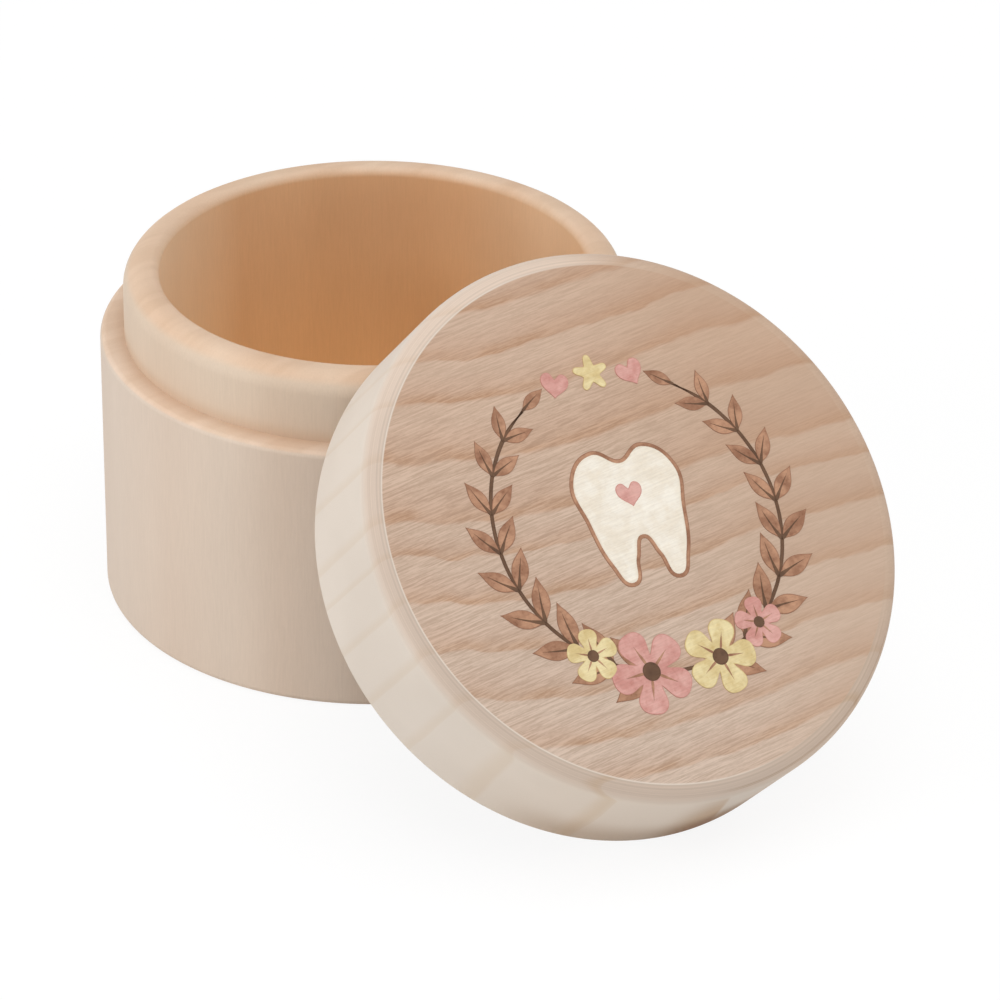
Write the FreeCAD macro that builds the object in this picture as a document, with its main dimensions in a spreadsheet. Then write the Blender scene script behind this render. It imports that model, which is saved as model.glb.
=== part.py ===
"""A turned wooden keepsake box for baby teeth: a cup with a stepped rim, and a slip-over lid.

Two pieces, each turned from one block. The cup has a shoulder, a collar that stands inside it and a
plain bore. The lid is a disc with a recess that slips over the collar and sits on the shoulder.

The lid is off. It stands on its lower edge in front of the cup and leans back, so that the mouth of its
recess straddles the collar's front edge at two points, one each side of the middle.

Frame: millimetres, +Z up, origin at the centre of the cup's underside, and the lid leans on the -Y side.
"""
import FreeCAD, Part
import os

import Sketcher

FULL_TURN = 360.0
TOUCH = 1e-4
LEAN_AXIS = FreeCAD.Vector(1, 0, 0)

# Driving dimensions in millimetres, and one angle in degrees.
SIZES = [
    ("outer_diameter", "50", "outside of the cup and of the lid"),
    ("shoulder_height", "25.7", "underside of the cup to the shoulder that the lid sits on"),
    ("collar_height", "6.4", "shoulder to the top of the collar"),
    ("shoulder_width", "2.2", "outside of the cup to the outside of the collar"),
    ("collar_wall", "3.3", "outside of the collar to the bore"),
    ("floor_thickness", "5", "wood under the bore"),
    ("lid_thickness", "12.3", "lower rim of the lid to its top face"),
    ("slip_clearance", "0.2", "gap round the collar with the lid on"),
    ("head_clearance", "0.4", "gap over the collar with the lid on"),
    ("foot_round", "0.7", "lower outer edge of the cup"),
    ("shoulder_round", "0.6", "outer edge of the shoulder"),
    ("collar_round", "2", "outer top edge of the collar, the lead-in for the lid"),
    ("bore_round", "0.8", "inner top edge of the collar"),
    ("bore_cove", "1.5", "corner between the bore and its floor"),
    ("lid_top_round", "1.5", "outer edge of the lid's top face"),
    ("lid_rim_round", "0.5", "outer lower edge of the lid"),
    ("mouth_round", "0.5", "edge of the recess mouth"),
    ("recess_cove", "1", "corner between the recess wall and its floor"),
    ("straddle_angle", "24", "from the middle of the mouth to each point that rests on the collar"),
    ("lean_clearance", "0.1", "gap between the leaning lid and the collar"),
]

# What follows from the driving dimensions. The leaning lid touches the collar with one rounded edge on
# another: the mouth's round on the collar's round. Each round is a tube about a ring, so the ring of the
# mouth passes that of the collar at the sum of both radii and the clearance, square to both edges.
FITS = [
    ("outer_radius", "sizes.outer_diameter / 2"),
    ("collar_radius", "outer_radius - sizes.shoulder_width"),
    ("bore_radius", "collar_radius - sizes.collar_wall"),
    ("collar_top", "sizes.shoulder_height + sizes.collar_height"),
    ("recess_radius", "collar_radius + sizes.slip_clearance"),
    ("recess_depth", "sizes.collar_height + sizes.head_clearance"),
    # The rings inside the two rounded edges, and the point of the mouth's ring that rests.
    ("collar_ring", "collar_radius - sizes.collar_round"),
    ("mouth_ring", "recess_radius + sizes.mouth_round"),
    ("mouth_forward", "mouth_ring * cos(sizes.straddle_angle)"),
    ("mouth_side", "mouth_ring * sin(sizes.straddle_angle)"),
    # The direction from one ring to the other, from upright, for the lean that sharp edges would have.
    ("sharp_lean", "asin(collar_top / (outer_radius + mouth_forward))"),
    ("bearing", "asin(mouth_side / collar_radius)"),
    ("level_part", "cos(sharp_lean) * cos(bearing) * mouth_side + sin(bearing) * mouth_forward"),
    ("contact_angle", "atan(sin(sharp_lean) * mouth_side / level_part)"),
    ("ring_gap", "sizes.mouth_round + sizes.collar_round + sizes.lean_clearance"),
    # The lean, with the lid's lower edge on the table and its mouth on the collar.
    ("rim_ring", "outer_radius - sizes.lid_rim_round"),
    ("slope_run", "rim_ring + mouth_forward"),
    ("slope_offset", "sizes.mouth_round - sizes.lid_rim_round"),
    ("slope_rise", "collar_top - sizes.collar_round + ring_gap * cos(contact_angle) - sizes.lid_rim_round"),
    ("slope_length", "sqrt(slope_run ^ 2 + slope_offset ^ 2)"),
    ("lean_angle", "asin(slope_rise / slope_length) - atan(slope_offset / slope_run)"),
    ("lid_height", "rim_ring * sin(lean_angle) + sizes.lid_rim_round * (1 - cos(lean_angle))"),
    ("contact_radius", "collar_ring + ring_gap * sin(contact_angle)"),
    ("contact_reach", "sqrt(contact_radius ^ 2 - mouth_side ^ 2)"),
    ("mouth_back", "mouth_forward * cos(lean_angle) - sizes.mouth_round * sin(lean_angle)"),
    ("lid_reach", "contact_reach + mouth_back"),
]


def make_sheet(doc, name, rows):
    """Return a sheet with one aliased cell for each row: its name, its content and an optional note."""
    sheet = doc.addObject("Spreadsheet::Sheet", name)
    for number, (alias, content, *note) in enumerate(rows, start=1):
        sheet.set(f"A{number}", alias)
        sheet.setAlias(f"B{number}", alias)
        sheet.set(f"B{number}", content)
        if note:
            sheet.set(f"C{number}", note[0])
    doc.recompute()
    return sheet


def half_section(body, name, inner, outer, bottom, top):
    """Sketch a rectangle of the turned section: from one radius to another, between two heights.

    Each limit is an expression on the sheets, or None for a limit that lies on an axis of the sketch.
    """
    sketch = body.newObject("Sketcher::SketchObject", name)
    plane = next(item for item in body.Origin.OriginFeatures if item.Role == "XZ_Plane")
    sketch.AttachmentSupport = [(plane, "")]
    sketch.MapMode = "FlatFace"
    corners = [FreeCAD.Vector(x, y, 0) for x, y in ((1, 1), (2, 1), (2, 2), (1, 2))]
    low, right, high, left = range(len(corners))
    for index, corner in enumerate(corners):
        sketch.addGeometry(Part.LineSegment(corner, corners[index - len(corners) + 1]), False)
    for index in range(len(corners)):
        sketch.addConstraint(Sketcher.Constraint("Coincident", index, 2, (index + 1) % len(corners), 1))
    for line in (low, high):
        sketch.addConstraint(Sketcher.Constraint("Horizontal", line))
    for line in (right, left):
        sketch.addConstraint(Sketcher.Constraint("Vertical", line))
    limits = [("inner", left, "DistanceX", -2, inner), ("outer", right, "DistanceX", -2, outer),
              ("bottom", low, "DistanceY", -1, bottom), ("top", high, "DistanceY", -1, top)]
    for label, line, kind, axis, expression in limits:
        if expression is None:
            sketch.addConstraint(Sketcher.Constraint("PointOnObject", line, 1, axis))
            continue
        constraint = sketch.addConstraint(Sketcher.Constraint(kind, -1, 1, line, 1, 1.0))
        sketch.renameConstraint(constraint, label)
        sketch.setExpression(f"Constraints.{label}", expression)
    return sketch


def turn(body, kind, name, *limits):
    """Turn a rectangle of the section round the body's axis, as wood that stays or wood that goes."""
    sketch = half_section(body, f"{name}_section", *limits)
    feature = body.newObject(f"PartDesign::{kind}", name)
    feature.Profile = sketch
    feature.ReferenceAxis = (sketch, ["V_Axis"])
    feature.Angle = FULL_TURN
    body.Document.recompute()
    return feature


def cut_away(body, name, *limits):
    """Turn wood away and make sure that the cut took some."""
    before = body.Shape.Volume
    feature = turn(body, "Groove", name, *limits)
    if not body.Shape.Volume < before:
        raise RuntimeError(f"{body.Label}: {name} cut nothing")
    return feature


def soften(body, name, size, radius, height):
    """Round the one circular edge of the body that has this radius and height."""
    tip = body.Tip
    names = []
    for number, edge in enumerate(tip.Shape.Edges, start=1):
        curve = edge.Curve
        if not isinstance(curve, Part.Circle):
            continue
        if abs(curve.Radius - radius) < TOUCH and abs(curve.Center.z - height) < TOUCH:
            names.append(f"Edge{number}")
    if len(names) != 1:
        raise RuntimeError(f"{body.Label}: {name} found {len(names)} edges")
    fillet = body.newObject("PartDesign::Fillet", name)
    fillet.Base = (tip, names)
    fillet.setExpression("Radius", size)
    body.Document.recompute()
    return fillet


def make_box_base(doc, sizes, fits):
    """The cup: a turned block, the shoulder cut round its rim, the bore, and its softened edges."""
    body = doc.addObject("PartDesign::Body", "box_base")
    body.Label = "box_base"
    turn(body, "Revolution", "block", None, "fits.outer_radius", None, "fits.collar_top")
    cut_away(body, "shoulder_cut", "fits.collar_radius", "fits.outer_radius", "sizes.shoulder_height",
             "fits.collar_top")
    cut_away(body, "bore_cut", None, "fits.bore_radius", "sizes.floor_thickness", "fits.collar_top")
    soften(body, "foot_edge", "sizes.foot_round", fits.outer_radius, 0)
    soften(body, "shoulder_edge", "sizes.shoulder_round", fits.outer_radius, sizes.shoulder_height)
    soften(body, "collar_edge", "sizes.collar_round", fits.collar_radius, fits.collar_top)
    soften(body, "bore_edge", "sizes.bore_round", fits.bore_radius, fits.collar_top)
    soften(body, "bore_corner", "sizes.bore_cove", fits.bore_radius, sizes.floor_thickness)
    return body


def make_lid(doc, sizes, fits):
    """The lid: a turned disc with the recess for the collar, stood on its rim and leant on the cup."""
    body = doc.addObject("PartDesign::Body", "lid")
    body.Label = "lid"
    turn(body, "Revolution", "disc", None, "fits.outer_radius", None, "sizes.lid_thickness")
    cut_away(body, "recess_cut", None, "fits.recess_radius", None, "fits.recess_depth")
    soften(body, "top_edge", "sizes.lid_top_round", fits.outer_radius, sizes.lid_thickness)
    soften(body, "rim_edge", "sizes.lid_rim_round", fits.outer_radius, 0)
    soften(body, "mouth_edge", "sizes.mouth_round", fits.recess_radius, 0)
    soften(body, "recess_corner", "sizes.recess_cove", fits.recess_radius, fits.recess_depth)
    body.Placement = FreeCAD.Placement(FreeCAD.Vector(), FreeCAD.Rotation(LEAN_AXIS, fits.lean_angle))
    body.setExpression("Placement.Rotation.Angle", "fits.lean_angle")
    body.setExpression("Placement.Base.y", "-fits.lid_reach")
    body.setExpression("Placement.Base.z", "fits.lid_height")
    doc.recompute()
    return body


def check(doc, bodies):
    """Stop if any object failed or any piece is not one sound solid."""
    for item in doc.Objects:
        if {"Invalid", "Error"} & set(item.State):
            raise RuntimeError(f"{item.Label}: {item.State}")
    for body in bodies:
        shape = body.Shape
        if shape.isNull() or not shape.isValid() or len(shape.Solids) != 1:
            raise RuntimeError(f"{body.Label}: not one sound solid")


def main():
    """Build the two pieces and write each to its own file."""
    doc = FreeCAD.newDocument("baby_tooth_box")
    sizes = make_sheet(doc, "sizes", SIZES)
    fits = make_sheet(doc, "fits", [(alias, f"={formula}") for alias, formula in FITS])
    bodies = [make_box_base(doc, sizes, fits), make_lid(doc, sizes, fits)]
    doc.recompute()
    check(doc, bodies)
    os.makedirs("parts", exist_ok=True)
    for body in bodies:
        body.Shape.exportStep(os.path.join("parts", f"{body.Label}.step"))
        box = body.Shape.BoundBox
        print(body.Label, "volume", round(body.Shape.Volume, 1), "from", box.XMin, box.YMin, box.ZMin,
              "to", box.XMax, box.YMax, box.ZMax)
    print("lean", fits.lean_angle, "reach", fits.lid_reach, "height", fits.lid_height)


main()
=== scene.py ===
"""A turned wooden baby tooth box with its lid off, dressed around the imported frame.

Metres, +Z up, in the frame's own axes. The cup and the lid are turned pieces that stand for the two CAD
nodes, and the lid carries a small print. The wood's figure is worked out in millimetres, in each piece's
own axes.
"""
from __future__ import annotations

import logging
import math
from collections.abc import Callable
from dataclasses import dataclass, field
from enum import Enum
from functools import cached_property, reduce

import bmesh
import bpy
from mathutils import Matrix, Vector

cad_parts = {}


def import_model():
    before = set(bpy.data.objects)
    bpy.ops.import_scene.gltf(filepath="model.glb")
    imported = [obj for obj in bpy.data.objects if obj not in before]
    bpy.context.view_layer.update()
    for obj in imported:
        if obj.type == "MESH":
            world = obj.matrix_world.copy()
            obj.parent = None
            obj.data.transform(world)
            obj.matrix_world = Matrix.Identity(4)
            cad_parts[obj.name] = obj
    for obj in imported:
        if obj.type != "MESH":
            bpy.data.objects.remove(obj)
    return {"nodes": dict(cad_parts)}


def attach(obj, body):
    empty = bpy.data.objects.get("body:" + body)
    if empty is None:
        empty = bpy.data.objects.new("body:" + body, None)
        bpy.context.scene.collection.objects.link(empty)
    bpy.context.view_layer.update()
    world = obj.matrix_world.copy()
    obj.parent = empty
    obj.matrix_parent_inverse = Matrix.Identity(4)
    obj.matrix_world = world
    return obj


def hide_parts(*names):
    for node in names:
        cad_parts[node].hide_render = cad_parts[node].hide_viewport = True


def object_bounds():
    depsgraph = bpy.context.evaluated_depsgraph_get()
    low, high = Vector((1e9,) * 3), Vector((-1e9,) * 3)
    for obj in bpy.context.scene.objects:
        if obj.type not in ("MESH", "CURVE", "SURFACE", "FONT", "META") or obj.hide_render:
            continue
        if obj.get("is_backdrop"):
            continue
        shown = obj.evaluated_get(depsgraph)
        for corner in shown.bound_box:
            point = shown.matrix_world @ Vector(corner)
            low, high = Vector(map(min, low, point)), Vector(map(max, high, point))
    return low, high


log = logging.getLogger("tooth_box")

MM = 0.001
TOUCH = 0.03 * MM

Socket = bpy.types.NodeSocket
Tree = bpy.types.NodeTree
Figure = bpy.types.NodeOutputs
Piece = bpy.types.Object
Material = bpy.types.Material
MeshPart = bmesh.types.BMFace | bmesh.types.BMEdge
Screen = tuple[int, int, int]
Tones = tuple[Screen, Screen]
Triple = tuple[float, float, float]
Tints = tuple[Triple, Triple]
Place = tuple[float, float]
Feed = Socket | float | tuple[float, ...]
# The two ends of a range, and what they become where that is not 0 and 1.
Span = tuple[float, ...]


def tone(colour: Screen) -> tuple[float, ...]:
    """Return a screen colour, in steps of 0 to 255, as the light that a node holds."""
    shares = [step / 255 for step in colour]
    return *(share / 12.92 if share <= 0.04045 else ((share + 0.055) / 1.055) ** 2.4 for share in shares), 1.0


def pick(*pieces: Piece) -> None:
    """Select some pieces and nothing else.

    Args:
        pieces: what to select; the first becomes the active one.
    """
    bpy.ops.object.select_all(action="DESELECT")
    for piece in pieces:
        piece.select_set(True)
    bpy.context.view_layer.objects.active = pieces[0]


def pick_parts(piece: Piece, kind: str, test: Callable[[MeshPart], bool]) -> None:
    """Select some faces or edges of a piece in edit mode, and nothing else.

    Args:
        piece: the piece.
        kind: FACE or EDGE.
        test: what the chosen ones pass.
    """
    bpy.ops.mesh.select_mode(type=kind)
    bpy.ops.mesh.select_all(action="DESELECT")
    mesh = bmesh.from_edit_mesh(piece.data)
    for part in mesh.faces if kind == "FACE" else mesh.edges:
        part.select_set(test(part))
    bmesh.update_edit_mesh(piece.data)


def settle(piece: Piece, place: Matrix) -> None:
    """Move the selected piece, and make its new place its own."""
    piece.matrix_world = place
    bpy.ops.object.transform_apply(location=True, rotation=True, scale=True)


class NodeBench:
    """Adds nodes to one tree and wires them up."""

    def __init__(self, tree: Tree) -> None:
        """Start on a tree."""
        self.tree = tree

    def feed(self, socket: Socket, value: Feed) -> None:
        """Give a socket its input.

        Args:
            socket: the socket to fill.
            value: the output of another node, or a plain value.
        """
        if isinstance(value, Socket):
            self.tree.links.new(value, socket)
        else:
            socket.default_value = value

    def node(self, kind: str, feeds: dict[str | int, Feed] | None = None,
             **settings: object) -> bpy.types.Node:
        """Add a node.

        Args:
            kind: the node's type, without the prefix that all shader nodes share.
            feeds: what each input takes, by its name or number.
            settings: the node's own properties.

        Returns:
            The new node.
        """
        item = self.tree.nodes.new(f"ShaderNode{kind}")
        for name, value in settings.items():
            setattr(item, name, value)
        for key, value in (feeds or {}).items():
            self.feed(item.inputs[key], value)
        return item

    def math(self, operation: str, *values: Feed, clamp: bool = False) -> Socket:
        """Return the result of one sum on numbers."""
        return self.node("Math", dict(enumerate(values)), operation=operation, use_clamp=clamp).outputs[0]

    def product(self, *values: Feed) -> Socket:
        """Return numbers multiplied together."""
        return reduce(lambda first, other: self.math("MULTIPLY", first, other), values)

    def span(self, value: Feed, *ends: Feed, smooth: bool = True) -> Socket:
        """Return a value taken across a range, to 0 to 1 or to a second range, and held at the ends."""
        style = "SMOOTHSTEP" if smooth else "LINEAR"
        return self.node("MapRange", dict(enumerate((value, *ends))), interpolation_type=style).outputs[0]

    def near(self, value: Feed, place: float, reach: float, full: float = 0.0) -> Socket:
        """Return 1 where a value lies at a place, and 0 where it has left it by a reach."""
        off = self.math("ABSOLUTE", self.math("SUBTRACT", value, place))
        return self.span(off, reach, full)

    def mix(self, share: Feed, first: Feed, second: Feed, blend: str = "MIX") -> Socket:
        """Return two colours laid over each other by a share."""
        feeds = {0: share, 6: first, 7: second}
        return self.node("Mix", feeds, data_type="RGBA", blend_type=blend, clamp_factor=True).outputs[2]

    def blend(self, share: Feed, tones: Tones) -> Socket:
        """Return a colour part of the way from one screen colour to another."""
        return self.mix(share, *(tone(colour) for colour in tones))

    def tint(self, colour: Feed, share: Feed, factor: Triple) -> Socket:
        """Return a colour multiplied by a tint, as far as a share says."""
        return self.mix(share, colour, (*factor, 1.0), "MULTIPLY")

    def shade(self, colour: Feed, share: Feed, tints: Tints, amount: Feed = 1.0) -> Socket:
        """Return a colour multiplied, as far as an amount says, by a tint that runs from one to another."""
        tint = self.mix(share, *((*factor, 1.0) for factor in tints))
        return self.mix(amount, colour, tint, "MULTIPLY")

    def parts(self, vector: Feed) -> tuple[Socket, ...]:
        """Return the three numbers of a place."""
        return tuple(self.node("SeparateXYZ", {0: vector}).outputs)

    def joined(self, *values: Feed) -> Socket:
        """Return a place from its numbers."""
        return self.node("CombineXYZ", dict(enumerate(values))).outputs[0]

    def measure(self, operation: str, *places: Feed) -> Socket:
        """Return a length, a distance or a product of places, as one number."""
        return self.node("VectorMath", dict(enumerate(places)), operation=operation).outputs["Value"]

    def stretch(self, vector: Feed, scale: Triple) -> Socket:
        """Return a place stretched along its axes."""
        return self.node("VectorMath", {0: vector, 1: scale}, operation="MULTIPLY").outputs[0]

    def noise(self, vector: Feed, cells: Triple, detail: float = 2.0, rough: float = 0.5) -> Socket:
        """Return noise about one half, with so many cells to each unit of the place."""
        feeds = {"Vector": self.stretch(vector, cells), "Scale": 1.0, "Detail": detail, "Roughness": rough}
        return self.node("TexNoise", feeds, noise_dimensions="3D").outputs[0]

    def ramp(self, share: Feed, stops: list[tuple[float, tuple[float, ...]]]) -> Socket:
        """Read a colour off a ramp.

        Args:
            share: where on the ramp to read.
            stops: the place and colour of each stop.

        Returns:
            The colour.
        """
        item = self.node("ValToRGB", {0: share})
        marks = item.color_ramp.elements
        while len(marks) < len(stops):
            marks.new(1.0)
        for mark, (place, colour) in zip(marks, stops):
            mark.position = place
            mark.color = colour
        return item.outputs[0]

    def curve(self, value: Feed, points: list[Place]) -> Socket:
        """Read a height off a drawn curve.

        Args:
            value: where on the curve to read.
            points: the curve's points, both axes from 0 to 1.

        Returns:
            The height.
        """
        item = self.node("FloatCurve", {1: value})
        line = item.mapping.curves[0].points
        while len(line) < len(points):
            line.new(0.5, 0.5)
        for point, place in zip(line, points):
            point.location = place
        item.mapping.update()
        return item.outputs[0]


@dataclass(frozen=True)
class Fibre:
    """The fine figure of a pale, even wood, shared by both pieces and by the print.

    Its place is in millimetres, with the first axis along the fibres, and each size is in cells to the
    millimetre.
    """

    fine: Triple = (0.42, 7.0, 7.0)
    grain: Triple = (2.4, 9.0, 9.0)
    broad: Triple = (0.14, 1.6, 1.6)
    hair: Triple = (0.26, 5.5, 5.5)
    pore: Triple = (0.3, 6.0, 6.0)
    drift: Triple = (0.03, 0.11, 0.11)
    feather: Triple = (0.33, 0.8, 0.05)
    splinter: Triple = (0.5, 5.0, 0.2)
    patch: Triple = (0.14, 0.55, 0.08)
    fine_rough: float = 0.6
    broad_share: float = 0.07
    grain_share: float = 0.3
    splinter_share: float = 0.25
    streak_span: Span = (0.338, 0.662)
    hair_span: Span = (0.56, 0.63)
    pore_span: Span = (0.57, 0.64)
    drift_span: Span = (0.3, 0.7)
    patch_span: Span = (0.36, 0.62)

    def build(self) -> Tree:
        """Make the group.

        Returns:
            The group, which gives streaks, pale hairlines, dark pores, slow drift, ragged ring edges and
            patches.
        """
        group = bpy.data.node_groups.new("wood_fibre", "ShaderNodeTree")
        group.interface.new_socket(name="Place", in_out="INPUT", socket_type="NodeSocketVector")
        place = group.nodes.new("NodeGroupInput").outputs["Place"]
        bench = NodeBench(group)
        fine_share = 1 - self.broad_share - self.grain_share
        streak = bench.product(bench.noise(place, self.fine, 1.0, self.fine_rough), fine_share)
        streak = bench.math("MULTIPLY_ADD", bench.noise(place, self.grain, 1.0), self.grain_share, streak)
        streak = bench.math("MULTIPLY_ADD", bench.noise(place, self.broad), self.broad_share, streak)
        feather = bench.math("SUBTRACT", bench.noise(place, self.feather), 0.5)
        splinter = bench.math("SUBTRACT", bench.noise(place, self.splinter, 1.0), 0.5)
        results = {
            "Streak": bench.span(streak, *self.streak_span, smooth=False),
            "Hairline": bench.span(bench.noise(place, self.hair, 1.0), *self.hair_span),
            "Pore": bench.span(bench.noise(place, self.pore, 1.0), *self.pore_span),
            "Drift": bench.span(bench.noise(place, self.drift), *self.drift_span),
            "Feather": bench.math("MULTIPLY_ADD", splinter, self.splinter_share, feather),
            "Patch": bench.span(bench.noise(place, self.patch), *self.patch_span),
        }
        for name in results:
            group.interface.new_socket(name=name, in_out="OUTPUT", socket_type="NodeSocketFloat")
        leave = group.nodes.new("NodeGroupOutput")
        for name, value in results.items():
            bench.feed(leave.inputs[name], value)
        return group


@dataclass(frozen=True)
class Pose:
    """Where a turned piece stands: the middle of its underside, and how far it leans back."""

    foot: Vector
    lean: float

    @classmethod
    def from_node(cls, node: Piece) -> Pose:
        """Measure the pose on the lid's CAD node.

        Args:
            node: the CAD lid, whose largest flat triangle lies on its top face.

        Returns:
            The pose.
        """
        flats = [face for face in node.data.polygons if face.normal.z > 0 > face.normal.y]
        normal = max(flats, key=lambda face: face.area).normal
        lean = math.atan2(-normal.y, normal.z)
        slope = Vector((0, math.cos(lean), math.sin(lean)))
        along = [vertex.co.dot(slope) for vertex in node.data.vertices]
        through = [vertex.co.dot(normal) for vertex in node.data.vertices]
        return cls(slope * (min(along) + max(along)) / 2 + normal * min(through), lean)

    @property
    def matrix(self) -> Matrix:
        """The move from the piece's own axes to the frame's."""
        return Matrix.Translation(self.foot) @ Matrix.Rotation(self.lean, 4, "X")


@dataclass(frozen=True)
class Surface:
    """How a finish takes the light: its roughness, how strongly it mirrors, and its relief in millimetres."""

    roughness: float
    gloss: float
    relief: float
    spread: float = 0.06
    strength: float = 0.25


class Finish(NodeBench):
    """A material in the making, on its piece's own axes in millimetres."""

    def __init__(self, name: str, pose: Pose) -> None:
        """Start a material.

        Args:
            name: what the material is called.
            pose: where the piece stands.
        """
        self.material = bpy.data.materials.new(name)
        self.material.use_nodes = True
        super().__init__(self.material.node_tree)
        feeds = {"Vector": self.node("TexCoord").outputs["Object"], "Location": pose.foot,
                 "Rotation": (pose.lean, 0, 0), "Scale": (MM, MM, MM)}
        self.own = self.node("Mapping", feeds, vector_type="TEXTURE").outputs[0]

    @cached_property
    def places(self) -> tuple[Socket, ...]:
        """The three numbers of the place on the piece."""
        return self.parts(self.own)

    @cached_property
    def level(self) -> Socket:
        """The place without its height."""
        return self.stretch(self.own, (1, 1, 0))

    @cached_property
    def radius(self) -> Socket:
        """The distance from the piece's axis."""
        return self.measure("LENGTH", self.level)

    def fibres(self, tree: Tree, angles: Triple) -> Figure:
        """Return what the fibre group gives on the piece when the fibres lie at some angles."""
        place = self.node("Mapping", {"Vector": self.own, "Rotation": angles}).outputs[0]
        return self.node("Group", {"Place": place}, node_tree=tree).outputs

    def close(self, colour: Feed, streak: Feed, surface: Surface) -> Material:
        """Wire up the shader.

        Args:
            colour: the finished colour.
            streak: the fibres, from 0 to 1, which roughen the surface and stand up from it.
            surface: how the finish takes the light.

        Returns:
            The finished material.
        """
        sockets = self.tree.nodes["Principled BSDF"].inputs
        ends = (surface.roughness - surface.spread, surface.roughness + surface.spread)
        relief = {"Strength": surface.strength, "Distance": surface.relief * MM, "Height": streak}
        self.feed(sockets["Base Color"], colour)
        self.feed(sockets["Roughness"], self.span(streak, 0.0, 1.0, *ends, smooth=False))
        self.feed(sockets["Specular IOR Level"], surface.gloss)
        self.feed(sockets["Normal"], self.node("Bump", relief).outputs[0])
        return self.material


@dataclass
class TurnedPiece:
    """A round piece shaped on the lathe, upright on the origin until it is placed."""

    name: str
    node: str
    body: str
    slot: str
    pose: Pose = Pose(Vector(), 0.0)
    fibre_turn: Triple = (0.0, 0.0, 0.0)
    segments: int = 288
    round_steps: int = 10
    smooth_angle: float = math.radians(40)
    weld: float = TOUCH / 100
    piece: Piece | None = field(default=None, init=False)

    def start(self, radius: float, height: float) -> None:
        """Add the blank, a cylinder that stands on the origin, and go into edit mode.

        Args:
            radius: the blank's radius.
            height: the blank's height.
        """
        bpy.ops.object.select_all(action="DESELECT")
        bpy.ops.mesh.primitive_cylinder_add(vertices=self.segments, radius=radius, depth=height,
                                            location=(0, 0, height / 2))
        self.piece = bpy.context.object
        self.piece.name = self.piece.data.name = self.name
        bpy.ops.object.transform_apply(location=True, rotation=False, scale=False)
        bpy.ops.object.mode_set(mode="EDIT")

    def pick_cap(self, height: float) -> None:
        """Select only the flat round face at a height."""
        pick_parts(self.piece, "FACE", lambda face: len(face.verts) == self.segments
                   and abs(face.calc_center_median().z - height) < TOUCH)

    def pick_ring(self, radius: float, height: float) -> None:
        """Select only the edges of the ring at a radius and height."""
        pick_parts(self.piece, "EDGE", lambda edge: all(
            abs(end.co.xy.length - radius) < TOUCH and abs(end.co.z - height) < TOUCH for end in edge.verts))

    def step_in(self, width: float, rise: float) -> None:
        """Inset the selected cap by a width and draw what is left up or down."""
        bpy.ops.mesh.inset(thickness=width, depth=0)
        bpy.ops.mesh.extrude_region_move(TRANSFORM_OT_translate={"value": (0, 0, rise)})

    def ease(self, radius: float, height: float, size: float) -> None:
        """Round over the ring at a radius and height."""
        self.pick_ring(radius, height)
        bpy.ops.mesh.bevel(offset=size, offset_type="OFFSET", segments=self.round_steps, affect="EDGES",
                           clamp_overlap=False)

    def close_cap(self, height: float, border: float) -> None:
        """Give a flat cap two narrow borders and a fan to its middle, so that it shades flat.

        Args:
            height: where the cap lies.
            border: the width of each border.
        """
        self.pick_cap(height)
        bpy.ops.mesh.inset(thickness=border, depth=0)
        bpy.ops.mesh.inset(thickness=border, depth=0)
        bpy.ops.mesh.poke()

    def leave_lathe(self) -> None:
        """Leave edit mode, put the piece in its place and smooth it."""
        bpy.ops.mesh.select_all(action="SELECT")
        bpy.ops.mesh.remove_doubles(threshold=self.weld)
        bpy.ops.mesh.normals_make_consistent(inside=False)
        bpy.ops.object.mode_set(mode="OBJECT")
        settle(self.piece, self.pose.matrix)
        bpy.ops.object.shade_smooth_by_angle(angle=self.smooth_angle)
        weight = self.piece.modifiers.new("flat_faces", "WEIGHTED_NORMAL")
        weight.keep_sharp = True
        bpy.ops.object.modifier_apply(modifier=weight.name)

    def hand_over(self, material: Material) -> None:
        """Dress the piece and let it stand for its CAD node.

        Args:
            material: the piece's finish.
        """
        self.piece.data.materials.clear()
        self.piece.data.materials.append(material)
        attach(self.piece, self.body)
        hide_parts(self.node)
        log.info("%s: %d faces, rides %s", self.name, len(self.piece.data.polygons), self.body)


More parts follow.
